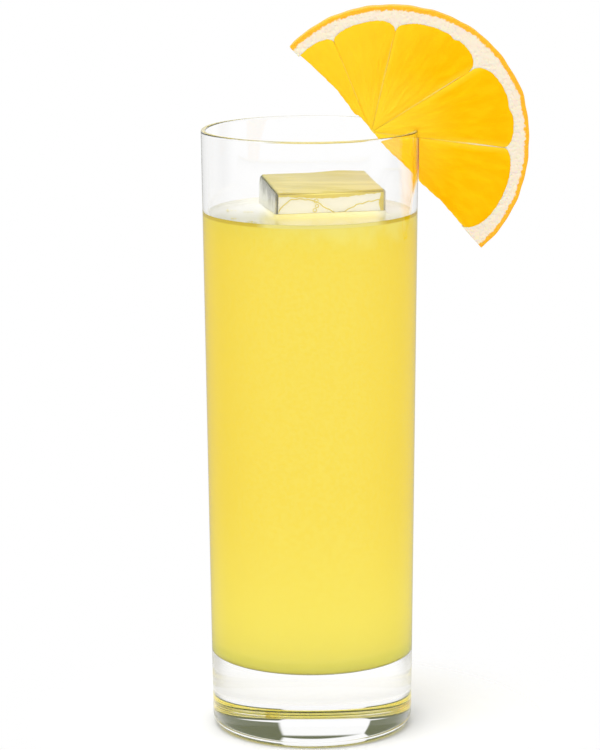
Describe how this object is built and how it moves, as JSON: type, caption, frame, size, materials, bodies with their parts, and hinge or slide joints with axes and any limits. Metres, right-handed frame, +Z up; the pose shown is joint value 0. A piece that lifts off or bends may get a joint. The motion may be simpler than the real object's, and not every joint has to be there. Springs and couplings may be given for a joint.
{
  "type": "glass of screwdriver cocktail",
  "caption": "Tall straight glass with a thick clear base, filled with cloudy yellow orange drink, with an ice cube and a half slice of orange slotted on its rim.",
  "frame": {"origin": "on the glass's axis, in the plane of its resting ring", "axes": "+Z up along the glass's axis; +X towards the place on the rim where the orange slice sits; -Y the side that the slice's cut face is seen from"},
  "size_m": [0.0902, 0.06, 0.2034],
  "materials": {
    "glass": "clear, polished, fire-polished lip",
    "drink": "cloudy orange drink, wet surface",
    "ice": "clear melting ice",
    "orange_pith": "spongy pith with a pitted orange peel",
    "orange_pulp": "juicy orange pulp"
  },
  "bodies": {
    "root": {"glass": "glass", "drink": "drink", "ice_cube": "ice", "orange_pith": "orange_pith", "orange_pulp_1": "orange_pulp", "orange_pulp_2": "orange_pulp", "orange_pulp_3": "orange_pulp", "orange_pulp_4": "orange_pulp", "orange_pulp_5_inside": "orange_pulp", "orange_pulp_5_outside": "orange_pulp"}
  },
  "joints": []
}
